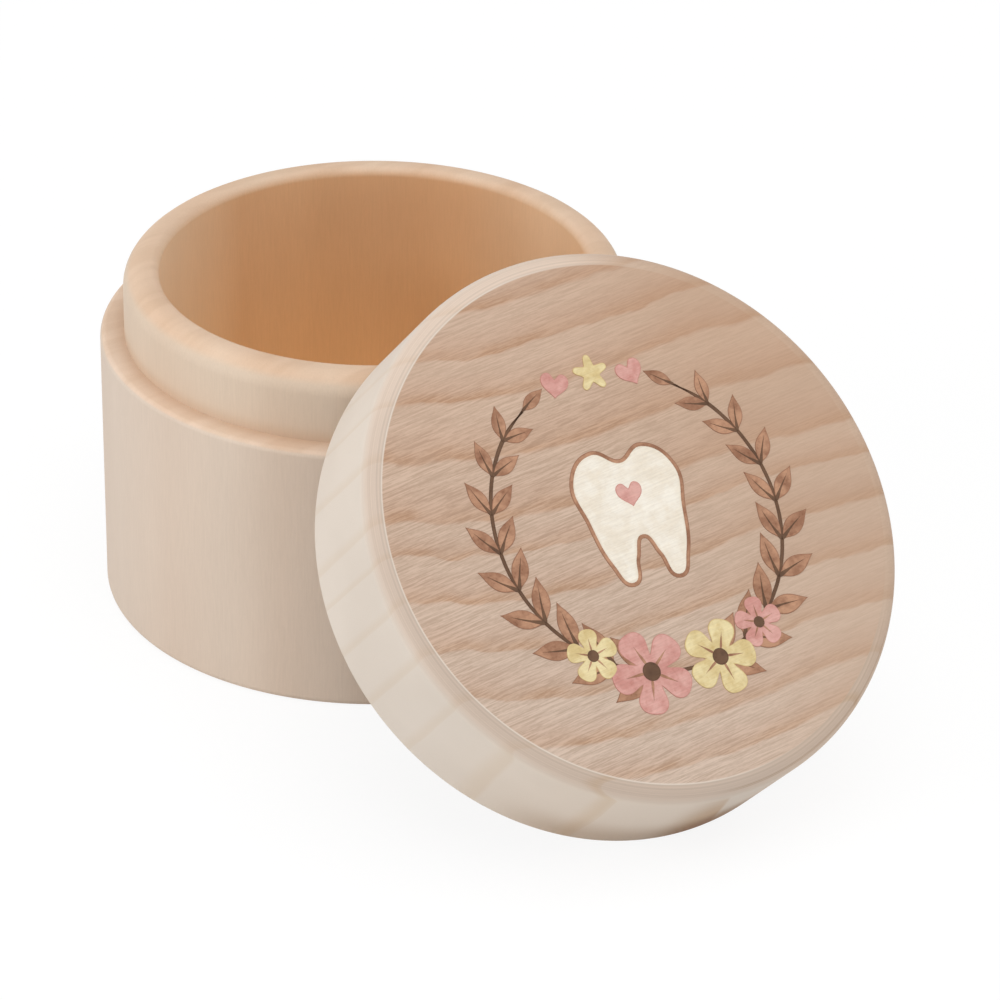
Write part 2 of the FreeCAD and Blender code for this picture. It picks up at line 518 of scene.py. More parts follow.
@dataclass
class Cup(TurnedPiece):
    """The box itself: a cup with a shoulder and a collar that the lid slips over."""

    name: str = "cup"
    node: str = "box_base"
    body: str = "base"
    slot: str = "base_wood"
    outer_radius: float = 25.0 * MM
    shoulder_height: float = 25.7 * MM
    shoulder_width: float = 2.2 * MM
    collar_height: float = 6.4 * MM
    collar_wall: float = 3.3 * MM
    floor_thickness: float = 5.0 * MM
    foot_round: float = 0.7 * MM
    shoulder_round: float = 0.6 * MM
    collar_round: float = 2.0 * MM
    bore_round: float = 0.8 * MM
    bore_cove: float = 1.5 * MM
    cap_border: float = 0.3 * MM
    fibre_turn: Triple = (0.0, math.pi / 2, 0.0)

    @property
    def collar_radius(self) -> float:
        """The outside of the collar."""
        return self.outer_radius - self.shoulder_width

    @property
    def bore_radius(self) -> float:
        """The inside of the cup."""
        return self.collar_radius - self.collar_wall

    @property
    def collar_top(self) -> float:
        """The height of the collar above the table."""
        return self.shoulder_height + self.collar_height

    def build(self) -> None:
        """Turn the cup from its blank."""
        self.start(self.outer_radius, self.shoulder_height)
        self.pick_cap(self.shoulder_height)
        self.step_in(self.shoulder_width, self.collar_height)
        self.step_in(self.collar_wall, self.floor_thickness - self.collar_top)
        self.ease(self.outer_radius, 0, self.foot_round)
        self.ease(self.outer_radius, self.shoulder_height, self.shoulder_round)
        self.ease(self.collar_radius, self.collar_top, self.collar_round)
        self.ease(self.bore_radius, self.collar_top, self.bore_round)
        self.ease(self.bore_radius, self.floor_thickness, self.bore_cove)
        self.close_cap(self.floor_thickness, self.cap_border)
        self.close_cap(0, self.cap_border)
        self.leave_lathe()

    def dress(self, fibre: Tree) -> None:
        """Give the cup its wood."""
        self.hand_over(CupWood(self, fibre).build())


@dataclass
class Lid(TurnedPiece):
    """The lid: a disc with a recess for the collar."""

    name: str = "lid_disc"
    node: str = "lid"
    body: str = "lid"
    slot: str = "lid_wood"
    outer_radius: float = 25.0 * MM
    thickness: float = 12.3 * MM
    recess_radius: float = 23.0 * MM
    recess_depth: float = 6.8 * MM
    top_round: float = 1.5 * MM
    rim_round: float = 0.5 * MM
    mouth_round: float = 0.5 * MM
    recess_cove: float = 1.0 * MM
    cap_border: float = 0.2 * MM
    fibre_turn: Triple = (0.0, 0.0, math.radians(-5.5))

    def build(self) -> None:
        """Turn the lid from its blank and lean it on the cup."""
        self.start(self.outer_radius, self.thickness)
        self.pick_cap(0)
        self.step_in(self.outer_radius - self.recess_radius, self.recess_depth)
        self.ease(self.outer_radius, self.thickness, self.top_round)
        self.ease(self.outer_radius, 0, self.rim_round)
        self.ease(self.recess_radius, 0, self.mouth_round)
        self.ease(self.recess_radius, self.recess_depth, self.recess_cove)
        self.close_cap(self.recess_depth, self.cap_border)
        self.close_cap(self.thickness, self.cap_border)
        self.leave_lathe()

    def dress(self, fibre: Tree) -> None:
        """Give the lid its wood."""
        self.hand_over(LidWood(self, fibre).build())


@dataclass(frozen=True)
class Wood:
    """What the woods of both pieces share: a slow drift of colour, and how they take the light."""

    piece: TurnedPiece
    fibre: Tree
    name: str
    drift: Tints
    surface: Surface

    @cached_property
    def finish(self) -> Finish:
        """The material in the making."""
        return Finish(self.name, self.piece.pose)

    @cached_property
    def figure(self) -> Figure:
        """What the fibres give on the piece."""
        return self.finish.fibres(self.fibre, self.piece.fibre_turn)

    def close(self, colour: Feed) -> Material:
        """Let the wood's colour drift a little, and return the finished material."""
        colour = self.finish.shade(colour, self.figure["Drift"], self.drift)
        return self.finish.close(colour, self.figure["Streak"], self.surface)


@dataclass(frozen=True)
class LidWood(Wood):
    """The lid's board: growth rings cross its toned top face, and it pales round the sapwood side.

    Lengths are in millimetres, in the lid's own axes: across, up the face, and through the lid.
    """

    name: str = "lid_wood"
    # The rings from the top edge of the face down, how far each one's edge rises across the lid, and how
    # far it drops on the side.
    first_edge: float = 29.4
    ring_widths: tuple[float, ...] = (4.0, 4.0, 4.0, 4.0, 5.3, 5.55, 3.05, 4.2, 4.5, 4.6, 4.3, 3.5, 3.8, 4.0)
    edge_width: float = 0.28
    rise_across: tuple[Place, ...] = (
        (-25, 3.6), (-21, 3.0), (-18, 1.95), (-15, 1.35), (-12, 0.75), (-9, 0.35), (-4, 0.0), (0, 0.05),
        (9, 0.5), (12, 0.75), (15, 0.75), (18, 0.55), (22, 0.4), (25, 0.3))
    rise_limit: float = 4.0
    drops: Span = (-17.0, -21.5, 0.5, 1.5)
    drop_heights: Span = (12.4, 10.8)
    waver: float = 1.0
    waver_cells: Triple = (0.14, 0.14, 0.05)
    feather: float = 0.75
    late_share: float = 0.85
    late_start: Span = (0.68, 0.97)
    late_fibres: Span = (0.2, 0.9, 1.0, 0.35)
    quiet: Span = (-10.0, 14.0, 1.0, 0.4)
    calm_across: Span = (-4.0, 20.0, 1.0, 0.3)
    calm_up: Span = (8.0, 20.0, 1.0, 0.65)
    hair_share: float = 0.6
    pore_share: float = -0.65
    line_start: Span = (0.75, 0.96)
    line_end: Span = (1.0, 0.96)
    line_shares: Span = (-17.0, -21.5, 0.45, 1.0)
    sapwood: Span = (-6.0, 18.0)
    tint_heights: Span = (18.0, -20.0)
    # Where the painted light on the lid's lower side reaches: its heights, and its distance from the foot's
    # middle.
    low_side: Span = (-10.0, -22.0)
    low_clear: Span = (2.0, 6.0)
    # The last ring grazes the foot: where its sharp edge lies at the rim, how far that moves across with
    # each millimetre up the side, where its soft edge runs, and how it fades with height. The painted
    # contact shadow below it starts, rises and ends across the foot, and reaches higher towards its end.
    foot_edge: float = 1.5
    foot_slope: float = -0.3
    foot_blur: float = 0.5
    foot_soft: Span = (-5.8, -1.2)
    foot_fade: Span = (12.0, 5.0, 0.5, 0.95)
    foot_top: Span = (11.6, 10.4)
    underside: Span = (-10.0, -18.0)
    contact_shadow_start: Span = (-19.0, -13.0, 0.0, 0.42)
    contact_shadow_rise: Span = (-5.0, 1.0, 0.0, 0.58)
    contact_shadow_end: Span = (7.5, 1.5)
    contact_shadow_tops: Span = (-1.5, 0.5, 6.0, 7.4)
    contact_shadow_low: float = 1.5
    turning_lines: float = 5.0
    turning_span: Span = (0.35, 0.65)
    tool_marks: tuple[float, ...] = (12.62, 12.82)
    tool_width: float = 0.1
    tool_start: Span = (-4.0, 0.5)
    round_shares: Span = (0.95, 0.2)
    round_strength: float = 0.8
    round_slant: float = 0.3
    round_end: Span = (9.0, 19.0)
    # Painted light on the round's upper part, and painted shade near the face on its lower part: their
    # heights and depths.
    round_light_heights: Span = (10.0, 25.0)
    round_shade_heights: Span = (6.0, -6.0)
    round_shade_depths: Span = (0.55, 0.05)
    # The painted highlight along the arris: its width, and how it fades out across the lid.
    arris_highlight_width: float = 0.12
    arris_highlight_fade: Span = (-6.0, 8.0, 0.75, 0.0)
    blur: float = 0.1
    face_stops: tuple[tuple[float, Screen], ...] = (
        (0.0, (207, 181, 160)), (0.25, (207, 181, 160)), (0.6, (203, 174, 152)), (1.0, (198, 165, 140)))
    late_line: Screen = (188, 149, 118)
    sides: Tones = ((221, 209, 196), (209, 186, 163))
    round_tone: Screen = (203, 182, 165)
    # The colour of the painted highlight along the arris.
    arris_highlight: Screen = (230, 219, 206)
    stain: Tints = ((0.862, 0.839, 0.811), (1.115, 1.13, 1.145))
    tints: Tints = ((0.925, 0.89, 0.865), (0.965, 1.005, 1.05))
    turning: Tints = ((0.89, 0.88, 0.87), (1.04, 1.04, 1.04))
    drift: Tints = ((0.975, 0.97, 0.965), (1.02, 1.02, 1.02))
    tint_heart: Triple = (0.955, 0.915, 0.87)
    side_line: Triple = (0.93, 0.87, 0.79)
    # The painted light on the lid's lower side.
    low_side_painted_light: Triple = (1.08, 1.055, 1.03)
    foot_brown: Triple = (0.78, 0.62, 0.46)
    # Painted contact shadow on the lid's lower edge, where it stands on the table.
    painted_contact_shadow: Triple = (0.5, 0.34, 0.2)
    tool_dark: Triple = (0.68, 0.57, 0.45)
    # The painted shade and the painted light on the round.
    round_painted_shade: Triple = (0.88, 0.87, 0.86)
    round_painted_light: Triple = (1.24, 1.245, 1.245)
    surface: Surface = Surface(0.62, 0.35, 0.03)

    @cached_property
    def level(self) -> Socket:
        """The height on the face, straightened so that each ring's edge lies level.

        Returns:
            The height, in millimetres.
        """
        bench, reach = self.finish, self.piece.outer_radius / MM
        across, up, _ = bench.places
        points = [((place + reach) / (2 * reach), rise / self.rise_limit) for place, rise in self.rise_across]
        rise = bench.curve(bench.span(across, -reach, reach, smooth=False), points)
        level = bench.math("MULTIPLY_ADD", rise, -self.rise_limit, up)
        waver = bench.math("SUBTRACT", bench.noise(bench.own, self.waver_cells), 0.5)
        return bench.math("MULTIPLY_ADD", waver, self.waver, level)

    def build(self) -> Material:
        """Make the material.

        Returns:
            The lid's wood.
        """
        bench = self.finish
        across, up, _ = bench.places
        heart = bench.span(across, *self.sapwood)
        face = bench.shade(self.face(), bench.span(up, *self.tint_heights), self.tints)
        face = bench.tint(face, heart, self.tint_heart)
        # Painted light on the lower part of the side, away from the foot's middle.
        off_streak = bench.span(bench.math("ABSOLUTE", across), *self.low_clear)
        low = bench.product(bench.span(up, *self.low_side), off_streak)
        side = bench.tint(bench.blend(heart, self.sides), low, self.low_side_painted_light)
        return self.close(self.join(face, side))

    def rings(self, level: Feed) -> Socket:
        """Find how far through its ring a place is.

        Args:
            level: the straightened height.

        Returns:
            A number that runs from 0 to 1 through each ring.
        """
        length = sum(self.ring_widths)
        share = self.finish.span(level, self.first_edge, self.first_edge - length, smooth=False)
        stops, depth = [], 0.0
        for width in self.ring_widths:
            stops.append((depth / length, (0.0, 0.0, 0.0, 1.0)))
            depth += width
            stops.append(((depth - self.edge_width) / length, (1.0, 1.0, 1.0, 1.0)))
        return self.finish.ramp(share, stops)

    def face(self) -> Socket:
        """Colour the top face: each ring darkens to its late wood, under fine streaks.

        Returns:
            The colour.
        """
        bench, figure = self.finish, self.figure
        across, up, _ = bench.places
        ring = self.rings(bench.math("MULTIPLY_ADD", figure["Feather"], self.feather, self.level))
        plain = bench.ramp(ring, [(place, tone(colour)) for place, colour in self.face_stops])
        fibrous = bench.span(figure["Streak"], *self.late_fibres, smooth=False)
        late = bench.product(bench.span(ring, *self.late_start), figure["Patch"], fibrous,
                             bench.span(across, *self.quiet), self.late_share)
        colour = bench.mix(late, plain, tone(self.late_line))
        shade = bench.math("MULTIPLY_ADD", figure["Hairline"], self.hair_share, figure["Streak"])
        shade = bench.math("MULTIPLY_ADD", figure["Pore"], self.pore_share, shade)
        clear = bench.product(bench.span(across, *self.calm_across), bench.span(up, *self.calm_up))
        return bench.shade(colour, shade, self.stain, clear)

    def side_lines(self) -> Socket:
        """Find the ring lines on the side, which come up softly and end sharply.

        Returns:
            How strongly a line shows.
        """
        bench = self.finish
        fallen = bench.span(bench.places[2], *self.drop_heights)
        ring = self.rings(bench.math("MULTIPLY_ADD", fallen, bench.span(self.level, *self.drops), self.level))
        return bench.product(bench.span(ring, *self.line_start), bench.span(ring, *self.line_end),
                             bench.span(self.level, *self.line_shares))

    def foot(self, colour: Feed) -> Socket:
        """Add the late wood of the last ring, which grazes the foot, and a painted contact shadow on the
        lower edge.

        Args:
            colour: the side's colour.

        Returns:
            The colour with both.
        """
        bench = self.finish
        across, up, through = bench.places
        rim = (self.piece.recess_radius / MM, self.piece.outer_radius / MM)
        outside = bench.product(bench.span(bench.radius, *rim), bench.span(up, *self.underside))
        edge = bench.math("MULTIPLY_ADD", through, self.foot_slope, self.foot_edge)
        past_edge = bench.math("SUBTRACT", across, edge)
        late = bench.product(bench.span(across, *self.foot_soft), bench.span(past_edge, self.foot_blur, 0.0),
                             bench.span(through, *self.foot_fade), bench.span(through, *self.foot_top),
                             outside)
        colour = bench.tint(colour, late, self.foot_brown)
        # Painted contact shadow along the lower edge near the foot, where the lid stands on the table.
        contact_shadow_across = bench.math("ADD", bench.span(across, *self.contact_shadow_start), bench.span(across, *self.contact_shadow_rise))
        height = bench.span(across, *self.contact_shadow_tops)
        low = bench.product(contact_shadow_across, bench.span(across, *self.contact_shadow_end),
                            bench.span(through, height, self.contact_shadow_low), outside)
        return bench.tint(colour, low, self.painted_contact_shadow)

    def turned_round(self, face: Feed) -> Socket:
        """Colour the round between the face and the side, with the fine lines that the lathe leaves, painted
        shade near the face low on the lid, and painted light on its upper part.

        Args:
            face: the face's colour, which the round takes on at the heartwood.

        Returns:
            The colour.
        """
        bench = self.finish
        across, up, through = bench.places
        along = bench.math("SUBTRACT", bench.radius, through)
        lines = bench.noise(bench.joined(along), (self.turning_lines, 0.0, 0.0), 1.0)
        colour = bench.shade(tone(self.round_tone), bench.span(lines, *self.turning_span), self.turning)
        depth = bench.math("SUBTRACT", self.piece.thickness / MM, through)
        # Painted shade on the round near the face, low on the lid, and painted light on its upper part.
        painted_round_shade = bench.product(bench.span(depth, *self.round_shade_depths), bench.span(up, *self.round_shade_heights))
        colour = bench.tint(colour, painted_round_shade, self.round_painted_shade)
        colour = bench.tint(colour, bench.span(up, *self.round_light_heights), self.round_painted_light)
        marked = bench.product(bench.span(across, *self.tool_start), bench.span(up, *self.underside))
        for place in self.tool_marks:
            mark = bench.product(bench.near(along, place, self.tool_width), marked)
            colour = bench.tint(colour, mark, self.tool_dark)
        slanted = bench.math("MULTIPLY_ADD", up, self.round_slant, across)
        return bench.mix(bench.span(slanted, *self.round_end), colour, face)

    def join(self, face: Feed, side: Feed) -> Socket:
        """Colour the whole lid: its flat faces, its side, and the turned round with a painted highlight along
        the arris.

        Args:
            face: the colour of its flat faces.
            side: the side's plain colour.

        Returns:
            The colour.
        """
        bench, lid, blur = self.finish, self.piece, self.blur
        across, _, through = bench.places
        top, size = lid.thickness / MM, lid.top_round / MM
        flat_edge = lid.outer_radius / MM - size
        ends = (top - share * size for share in self.round_shares)
        on_round = bench.span(through, *ends, 0.0, self.round_strength)
        colour = bench.mix(on_round, side, self.turned_round(face))
        colour = self.foot(bench.tint(colour, self.side_lines(), self.side_line))
        at_top = bench.span(through, top - 2 * blur, top - blur)
        on_face = bench.product(bench.span(bench.radius, flat_edge + blur / 2, flat_edge - blur / 2), at_top)
        ceiling_edge = (lid.recess_radius - lid.recess_cove) / MM
        inside = bench.product(bench.near(through, lid.recess_depth / MM, 2 * blur, blur),
                               bench.span(bench.radius, ceiling_edge + blur, ceiling_edge - blur))
        colour = bench.mix(bench.math("MAXIMUM", on_face, inside), colour, face)
        # Painted highlight along the arris, fading out across the lid.
        arris_highlight = bench.product(bench.near(bench.radius, flat_edge, self.arris_highlight_width), at_top,
                              bench.span(across, *self.arris_highlight_fade))
        return bench.mix(arris_highlight, colour, tone(self.arris_highlight))


@dataclass(frozen=True)
class PaintedBoreLight:
    """A side of the bore painted paler or darker than the rest, as painted light and shade. Lengths are in
    millimetres.
    """

    heading: float
    reach: Span
    factor: Triple
    heights: Span = (5.0, 6.5)


@dataclass(frozen=True)
class CupWood(Wood):
    """The cup's wood, with upright fibres, so that its level faces are end grain.

    Lengths are in millimetres.
    """

    name: str = "cup_wood"
    pith: Triple = (62.0, -48.0, 0.0)
    ring_width: float = 4.6
    feather: float = 1.3
    pore_share: float = -0.4
    rim_depth: float = 1.0
    painted_bounce_side: Span = (4.0, -18.0)
    level_faces: Span = (0.45, 0.8)
    corner_shade_reach: Span = (1.5, 0.0, 0.0, 0.34)
    shoulder_reach: Span = (2.0, 0.5)
    blur: float = 0.1
    wall: Tones = ((216, 199, 183), (214, 195, 178))
    collar: Tones = ((217, 197, 176), (214, 192, 170))
    ends: Tones = ((223, 196, 171), (219, 188, 161))
    # The bore's colour at the top and at the floor; the paler floor is painted bounce light.
    bore: Tones = ((226, 186, 145), (241, 204, 157))
    # The painted shade in the corner at the collar's foot.
    corner: Screen = (197, 160, 128)
    # The painted warm bounce light from the lid on the wall's front.
    wall_painted_bounce: Triple = (1.035, 1.02, 1.0)
    shoulder_light: Triple = (1.05, 1.1, 1.17)
    bore_shade: Triple = (0.975, 0.965, 0.95)
    # Painted light on the bore's left and right sides, and painted shade high on its back.
    painted_bore_lights: tuple[PaintedBoreLight, ...] = (
        PaintedBoreLight(math.radians(144), (13.5, 20.5), (1.24, 1.56, 1.98)),
        PaintedBoreLight(0.0, (16.5, 20.0), (0.98, 1.08, 1.22)),
        PaintedBoreLight(math.radians(45), (16.0, 19.4), (0.88, 0.84, 0.81), (22.0, 30.0)),
    )
    end_stain: Tints = ((0.955, 0.93, 0.9), (1.02, 1.02, 1.02))
    stain: Tints = ((0.975, 0.972, 0.968), (1.02, 1.02, 1.02))
    drift: Tints = ((0.97, 0.965, 0.96), (1.02, 1.02, 1.02))
    surface: Surface = Surface(0.66, 0.3, 0.02)

    @cached_property
    def late(self) -> Socket:
        """How near a ring's late wood a place is.

        Returns:
            A number from 0 to 1.
        """
        bench = self.finish
        from_pith = bench.measure("DISTANCE", bench.level, self.pith)
        from_pith = bench.math("MULTIPLY_ADD", self.figure["Feather"], self.feather, from_pith)
        return bench.math("PINGPONG", bench.math("DIVIDE", from_pith, self.ring_width), 1.0)

    @cached_property
    def end_grain(self) -> Socket:
        """The colour of end grain, as on the rim."""
        plain = self.finish.blend(self.late, self.ends)
        return self.finish.shade(plain, self.figure["Patch"], self.end_stain)

    def build(self) -> Material:
        """Return the cup's material."""
        shade = self.finish.math("MULTIPLY_ADD", self.figure["Pore"], self.pore_share, self.figure["Streak"])
        return self.close(self.finish.shade(self.inside(self.outside()), shade, self.stain))

    def outside(self) -> Socket:
        """Colour the wall, the collar and the level faces, with painted bounce light from the lid on the
        wall's front and painted shade in the collar's corner.

        Returns:
            The colour.
        """
        bench, shoulder = self.finish, self.piece.shoulder_height / MM
        _, back, height = bench.places
        wall = bench.blend(self.late, self.wall)
        # Painted warm bounce light from the lid on the wall's front.
        wall = bench.tint(wall, bench.span(back, *self.painted_bounce_side), self.wall_painted_bounce)
        on_collar = bench.span(height, shoulder - self.blur, shoulder + self.blur)
        colour = bench.mix(on_collar, wall, bench.blend(self.late, self.collar))
        above = bench.math("SUBTRACT", height, shoulder)
        end = bench.tint(self.end_grain, bench.span(above, *self.shoulder_reach), self.shoulder_light)
        facing = bench.math("ABSOLUTE", bench.parts(bench.node("NewGeometry").outputs["Normal"])[2])
        colour = bench.mix(bench.span(facing, *self.level_faces), colour, end)
        # Painted shade in the corner at the collar's foot.
        corner = (self.piece.collar_radius / MM, shoulder, 0.0)
        off_corner = bench.measure("DISTANCE", bench.joined(bench.radius, height), corner)
        return bench.mix(bench.span(off_corner, *self.corner_shade_reach), colour, tone(self.corner))

    def inside(self, colour: Feed) -> Socket:
        """Colour the bore and its floor, which grow paler with depth as painted bounce light, with painted
        light and shade on some of the bore's sides.

        Args:
            colour: the colour of the rest of the cup.

        Returns:
            The colour of the whole cup.
        """
        bench, cup, blur = self.finish, self.piece, self.blur
        height = bench.places[2]
        top, floor = cup.collar_top / MM, cup.floor_thickness / MM
        # Painted bounce light: the bore grows paler towards its floor.
        bore = bench.blend(bench.span(height, top, floor), self.bore)
        # Painted light and shade on some sides of the bore.
        for side in self.painted_bore_lights:
            out = bench.measure("DOT_PRODUCT", bench.own, (*polar(1.0, side.heading), 0.0))
            share = bench.product(bench.span(out, *side.reach, smooth=False),
                                  bench.span(height, *side.heights))
            bore = bench.tint(bore, share, side.factor)
        bore = bench.tint(bore, self.late, self.bore_shade)
        inner = bench.mix(bench.span(height, top, top - self.rim_depth), self.end_grain, bore)
        edge = (cup.bore_radius + cup.bore_round) / MM
        within = bench.product(bench.span(bench.radius, edge + blur, edge - blur),
                               bench.span(height, floor / 3, floor / 2))
        return bench.mix(within, colour, inner)


@dataclass(frozen=True)
class Knot:
    """One point of a printed outline, where the line bends smoothly or turns a corner."""

    across: float
    up: float
    corner: bool = False


Outline = tuple[Knot, ...]


def mirrored(half: Outline) -> Outline:
    """Return a whole outline from the half on its right, whose first and last knots lie on the middle."""
    return half + tuple(Knot(-knot.across, knot.up, knot.corner) for knot in reversed(half[1:-1]))


def polar(radius: float, angle: float) -> Place:
    """Return a place from its distance and direction from the middle."""
    return radius * math.cos(angle), radius * math.sin(angle)


@dataclass(frozen=True)
class Mark:
    """One printing of an outline: its size, how far it is turned, and where it stands on the face."""

    outline: Outline
    size: float = 1.0
    turn: float = 0.0
    centre: Place = (0.0, 0.0)

    def matrix(self, stamp_size: float) -> Matrix:
        """Return the move that takes a stamp, cut at some size, to this mark."""
        scale = self.size / stamp_size
        return Matrix.LocRotScale(Vector((*self.centre, 0.0)) * MM, Matrix.Rotation(self.turn, 3, "Z"),
                                  Vector((scale, scale, 1.0)))


class Motif(Enum):
    """The outlines of the print, each one unit long or wide."""

    LEAF = (Knot(0, 0, True), Knot(0.45, -0.2), Knot(1, 0, True), Knot(0.45, 0.2))
    VEIN = (Knot(0, 0.02), Knot(0.4, 0.03), Knot(0.78, 0, True), Knot(0.4, -0.005), Knot(0, -0.02))
    BLOSSOM = tuple(Knot(*polar(reach, math.pi * (0.4 * petal + turn)), corner)
                    for petal in range(5)
                    for reach, turn, corner in ((0.2, -0.2, True), (0.45, -0.12, False), (0.5, 0, False),
                                                (0.45, 0.12, False)))
    CREASE = (Knot(0.1, 0.008), Knot(0.34, 0, True), Knot(0.1, -0.008))
    HEART = mirrored((Knot(0, 0.2, True), Knot(0.27, 0.42), Knot(0.5, 0.18), Knot(0, -0.45, True)))
    STAR = tuple(Knot(*polar(0.5 if step % 2 == 0 else 0.24, math.pi * (0.5 + step / 5)), step % 2 == 1)
                 for step in range(10))
    DOT = tuple(Knot(*polar(0.5, math.pi * step / 2)) for step in range(4))
    TOOTH = mirrored((Knot(0, 0.37), Knot(0.2, 0.46), Knot(0.39, 0.29), Knot(0.36, 0.0), Knot(0.28, -0.33),
                      Knot(0.18, -0.47), Knot(0.1, -0.3), Knot(0, -0.15)))

    def mark(self, size: float, turn: float, centre: Place) -> Mark:
        """Return one printing of this motif."""
        return Mark(self.value, size, turn, centre)


class Ink(Enum):
    """The print's washes, each with its thin and its pooled tone."""

    BARK = ((112, 82, 60), (84, 58, 40))
    LEAF_BROWN = ((192, 146, 116), (130, 86, 62))
    ROSE = ((222, 172, 162), (196, 132, 122))
    STRAW = ((236, 220, 172), (208, 182, 124))
    CREAM = ((246, 239, 226), (234, 222, 203))


@dataclass(frozen=True)
class InkWash:
    """Ink on bare wood: it pools at the edges and in patches, and the fibres show through."""

    lid: Lid
    fibre: Tree
    patches: Triple = (0.5, 0.5, 0.5)
    patch_detail: float = 3.0
    patch_rough: float = 0.6
    patch_span: Span = (0.34, 0.66, 0.0, 0.75)
    specks: Triple = (3.0, 3.0, 3.0)
    speck_span: Span = (0.5, 0.75, 0.0, 0.25)
    rim_share: float = 0.9
    stain: Tints = ((0.93, 0.92, 0.91), (1.05, 1.05, 1.05))
    surface: Surface = Surface(0.6, 0.3, 0.01)

    def build(self, ink: Ink) -> Material:
        """Make the material of one ink.

        Args:
            ink: which ink it is.

        Returns:
            The material.
        """
        bench = Finish(f"ink_{ink.name.lower()}", self.lid.pose)
        streak = bench.fibres(self.fibre, self.lid.fibre_turn)["Streak"]
        wash = bench.noise(bench.own, self.patches, self.patch_detail, self.patch_rough)
        wash = bench.span(wash, *self.patch_span)
        speck = bench.span(bench.noise(bench.own, self.specks), *self.speck_span)
        rim = bench.node("Attribute", attribute_name=InkLayer.RIM).outputs["Fac"]
        pooled = bench.math("MAXIMUM", wash, bench.product(rim, self.rim_share))
        pooled = bench.math("ADD", pooled, speck, clamp=True)
        colour = bench.shade(bench.blend(pooled, ink.value), streak, self.stain)
        return bench.close(colour, streak, self.surface)


@dataclass
class InkLayer:
    """One ink of the print: each outline is cut once as a stamp, and its copies are raised by the ink."""

    RIM = "rim"

    name: str
    ink: Ink
    marks: list[Mark]
    thickness: float
    rim_width: float = 0.13
    spread: float = 0.0
    sunk: float = 0.01
    steps: int = 10
    weld: float = TOUCH / 30
    upward: float = 0.9
    flat_angle: float = math.radians(0.5)

    def build(self, lid: Lid, turn: float) -> Piece:
        """Cut the stamps, copy them to their places and lay the layer on the lid's face.

        Args:
            lid: the lid that carries the print.
            turn: how far the whole print is turned on the face.

        Returns:
            The printed piece.
        """
        stamps: dict[Outline, tuple[Piece, float]] = {}
        copies = []
        for mark in self.marks:
            if mark.outline not in stamps:
                stamps[mark.outline] = self.cut(mark), mark.size
            stamp, size = stamps[mark.outline]
            pick(stamp)
            bpy.ops.object.duplicate(linked=False)
            settle(bpy.context.object, mark.matrix(size))
            copies.append(bpy.context.object)
        pick(*(stamp for stamp, _ in stamps.values()))
        bpy.ops.object.delete()
        pick(*copies)
        if len(copies) > 1:
            bpy.ops.object.join()
        piece = bpy.context.object
        piece.name = piece.data.name = self.name
        lift = lid.thickness + (self.thickness - self.sunk) / 2 * MM
        settle(piece, lid.pose.matrix @ Matrix.Translation((0, 0, lift)) @ Matrix.Rotation(turn, 4, "Z"))
        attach(piece, lid.body)
        return piece

    def cut(self, mark: Mark) -> Piece:
        """Cut the stamp of an outline, filled and as thick as the ink.

        Args:
            mark: the printing that gives the outline and its size.

        Returns:
            The stamp, at the origin.
        """
        curve = bpy.data.curves.new(self.name, "CURVE")
        curve.dimensions = "2D"
        curve.fill_mode = "BOTH"
        curve.resolution_u = self.steps
        curve.extrude = (self.thickness + self.sunk) / 2 * MM
        curve.offset = self.spread * MM
        spline = curve.splines.new("BEZIER")
        spline.bezier_points.add(len(mark.outline) - 1)
        spline.use_cyclic_u = True
        for point, knot in zip(spline.bezier_points, mark.outline):
            point.co = Vector((knot.across, knot.up, 0)) * mark.size * MM
            point.handle_left_type = point.handle_right_type = "VECTOR" if knot.corner else "AUTO"
        stamp = bpy.data.objects.new(self.name, curve)
        bpy.context.scene.collection.objects.link(stamp)
        pick(stamp)
        bpy.ops.object.convert(target="MESH")
        self.pool_edges(bpy.context.object)
        return bpy.context.object

    def pool_edges(self, stamp: Piece) -> None:
        """Close a stamp's edges, and mark a narrow rim on top where the ink pools.

        Args:
            stamp: the stamp, just made a mesh.
        """
        bpy.ops.object.mode_set(mode="EDIT")
        bpy.ops.mesh.select_all(action="SELECT")
        bpy.ops.mesh.remove_doubles(threshold=self.weld)
        bpy.ops.mesh.normals_make_consistent(inside=False)
        bpy.ops.mesh.dissolve_limited(angle_limit=self.flat_angle, use_dissolve_boundaries=False)
        pick_parts(stamp, "FACE", lambda face: face.normal.z > self.upward)
        bpy.ops.mesh.inset(thickness=self.rim_width * MM, depth=0)
        bpy.ops.object.mode_set(mode="OBJECT")
        rim = stamp.data.attributes.new(self.RIM, "FLOAT", "POINT")
        for vertex in stamp.data.vertices:
            rim.data[vertex.index].value = 0.0 if vertex.select else 1.0


@dataclass(frozen=True)
class Blossom:
    """One flower of the wreath: its ink, its direction from the middle of the face, and its width."""

    ink: Ink
    angle: float
    size: float


